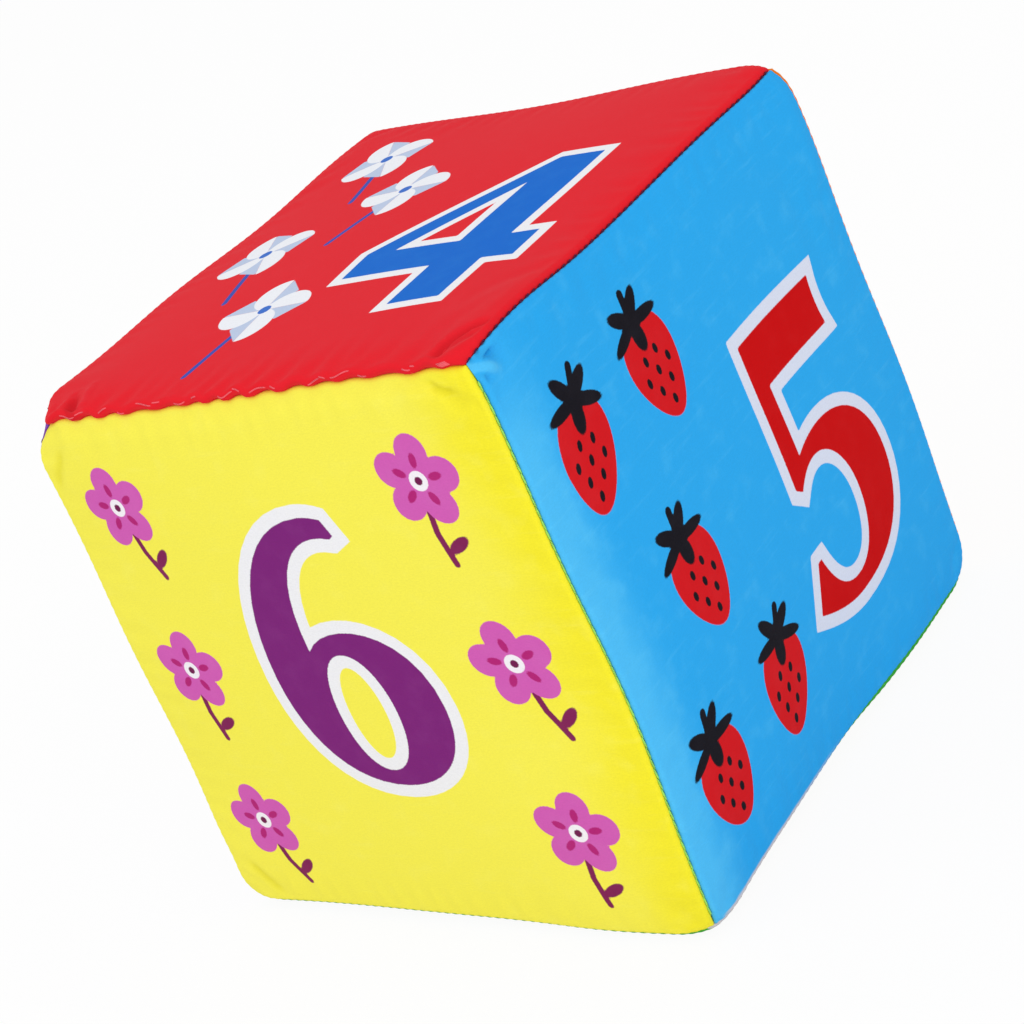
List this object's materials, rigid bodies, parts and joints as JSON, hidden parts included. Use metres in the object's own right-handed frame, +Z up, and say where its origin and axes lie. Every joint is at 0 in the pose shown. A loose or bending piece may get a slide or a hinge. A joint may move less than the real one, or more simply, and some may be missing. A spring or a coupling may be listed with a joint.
{
  "type": "soft dice",
  "caption": "Soft cube-shaped dice for small children: a sewn cloth cover with a printed number on each face, over a foam core with a rattle inside.",
  "frame": {"origin": "middle of the face that the dice rests on", "axes": "+Z up through the face with the four, -Y out of the face with the six, +X out of the face with the five"},
  "size_m": [0.1012, 0.1012, 0.0996],
  "materials": {
    "cloth_yellow": "short-pile polyester cloth, matt",
    "cloth_blue": "short-pile polyester cloth, matt",
    "cloth_red": "short-pile polyester cloth, matt",
    "cloth_green": "short-pile polyester cloth, matt",
    "cloth_purple": "short-pile polyester cloth, matt",
    "cloth_orange": "short-pile polyester cloth, matt",
    "seam_thread": "twisted polyester thread",
    "closing_thread": "twisted polyester thread",
    "foam": "open-cell soft foam",
    "capsule_white": "moulded plastic, satin",
    "capsule_blue": "moulded plastic, satin",
    "bead": "moulded plastic, glossy"
  },
  "bodies": {
    "cover_and_core": {"panel_yellow_six": "cloth_yellow", "panel_blue_five": "cloth_blue", "panel_red_four": "cloth_red", "panel_green_three": "cloth_green", "panel_purple_two": "cloth_purple", "panel_orange_one": "cloth_orange", "seam_thread_red_blue": "seam_thread", "seam_thread_red_orange": "seam_thread", "seam_thread_red_purple": "seam_thread", "seam_thread_yellow_blue": "seam_thread", "seam_thread_blue_orange": "seam_thread", "seam_thread_orange_purple": "seam_thread", "seam_thread_purple_yellow": "seam_thread", "seam_thread_green_yellow": "seam_thread", "seam_thread_green_blue": "seam_thread", "seam_thread_green_orange": "seam_thread", "seam_thread_green_purple": "seam_thread", "closing_seam_thread": "closing_thread", "foam_block": "foam", "foam_plug": "foam", "rattle_cup": "capsule_white", "rattle_lid": "capsule_blue"},
    "bead_1": {"rattle_bead_1": "bead"},
    "bead_2": {"rattle_bead_2": "bead"},
    "bead_3": {"rattle_bead_3": "bead"},
    "bead_4": {"rattle_bead_4": "bead"},
    "bead_5": {"rattle_bead_5": "bead"}
  },
  "joints": [
    {"name": "bead_1_bounce", "type": "slide", "parent": "cover_and_core", "child": "bead_1", "axis": [0, 0, 1], "range_m": [0, 0.0132]},
    {"name": "bead_2_bounce", "type": "slide", "parent": "cover_and_core", "child": "bead_2", "axis": [0, 0, 1], "range_m": [0, 0.0132]},
    {"name": "bead_3_bounce", "type": "slide", "parent": "cover_and_core", "child": "bead_3", "axis": [0, 0, 1], "range_m": [0, 0.0132]},
    {"name": "bead_4_bounce", "type": "slide", "parent": "cover_and_core", "child": "bead_4", "axis": [0, 0, 1], "range_m": [0, 0.0132]},
    {"name": "bead_5_bounce", "type": "slide", "parent": "cover_and_core", "child": "bead_5", "axis": [0, 0, 1], "range_m": [0, 0.0132]}
  ]
}
